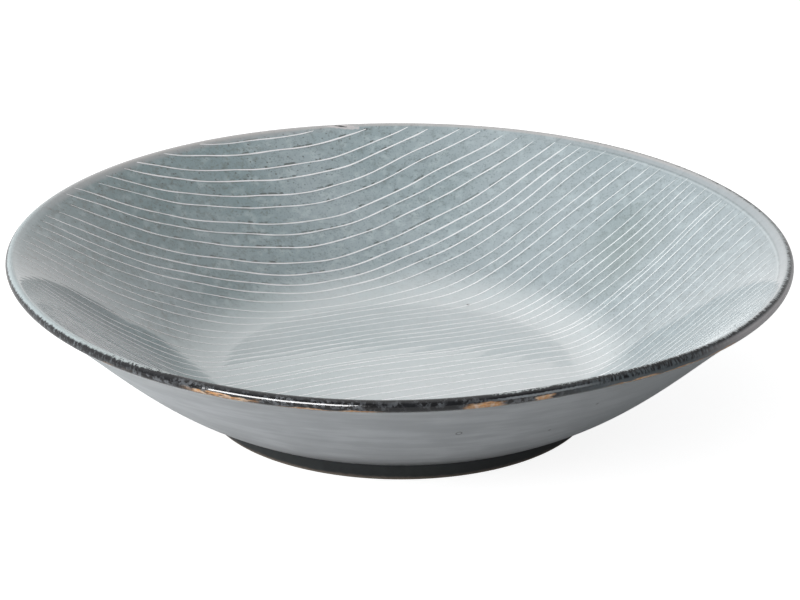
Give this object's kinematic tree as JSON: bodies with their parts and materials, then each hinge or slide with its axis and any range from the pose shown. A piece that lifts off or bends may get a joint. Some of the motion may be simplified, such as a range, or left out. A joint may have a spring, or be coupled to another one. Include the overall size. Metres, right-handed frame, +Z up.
{
  "type": "soup plate",
  "caption": "Round coupe soup plate in glazed stoneware with a flat well, a flared wall, a rounded dark-glazed lip and a turned foot ring.",
  "frame": {"origin": "centre of the foot ring's resting face, on the table", "axes": "+Z up along the plate's axis; the plate is round, so +X and +Y are free, and -Y faces the picture's camera"},
  "size_m": [0.225, 0.225, 0.048],
  "materials": {
    "bare_clay": "fired stoneware clay, unglazed, fine grained and matt",
    "inner_glaze": "glossy reactive blue-grey glaze with fine raised white lines",
    "rim_glaze": "glossy iron-dark glaze, broken blue-grey and tan",
    "outer_glaze": "satin grey glaze with faint turning streaks",
    "foot_glaze": "dark iron wash on the outer face of the foot ring, satin",
    "base_glaze": "satin grey glaze, thinner than outside"
  },
  "bodies": {
    "root": {"stoneware_body": "bare_clay", "inner_glaze": "inner_glaze", "rim_glaze": "rim_glaze", "outer_glaze": "outer_glaze", "foot_glaze": "foot_glaze", "base_glaze": "base_glaze"}
  },
  "joints": []
}
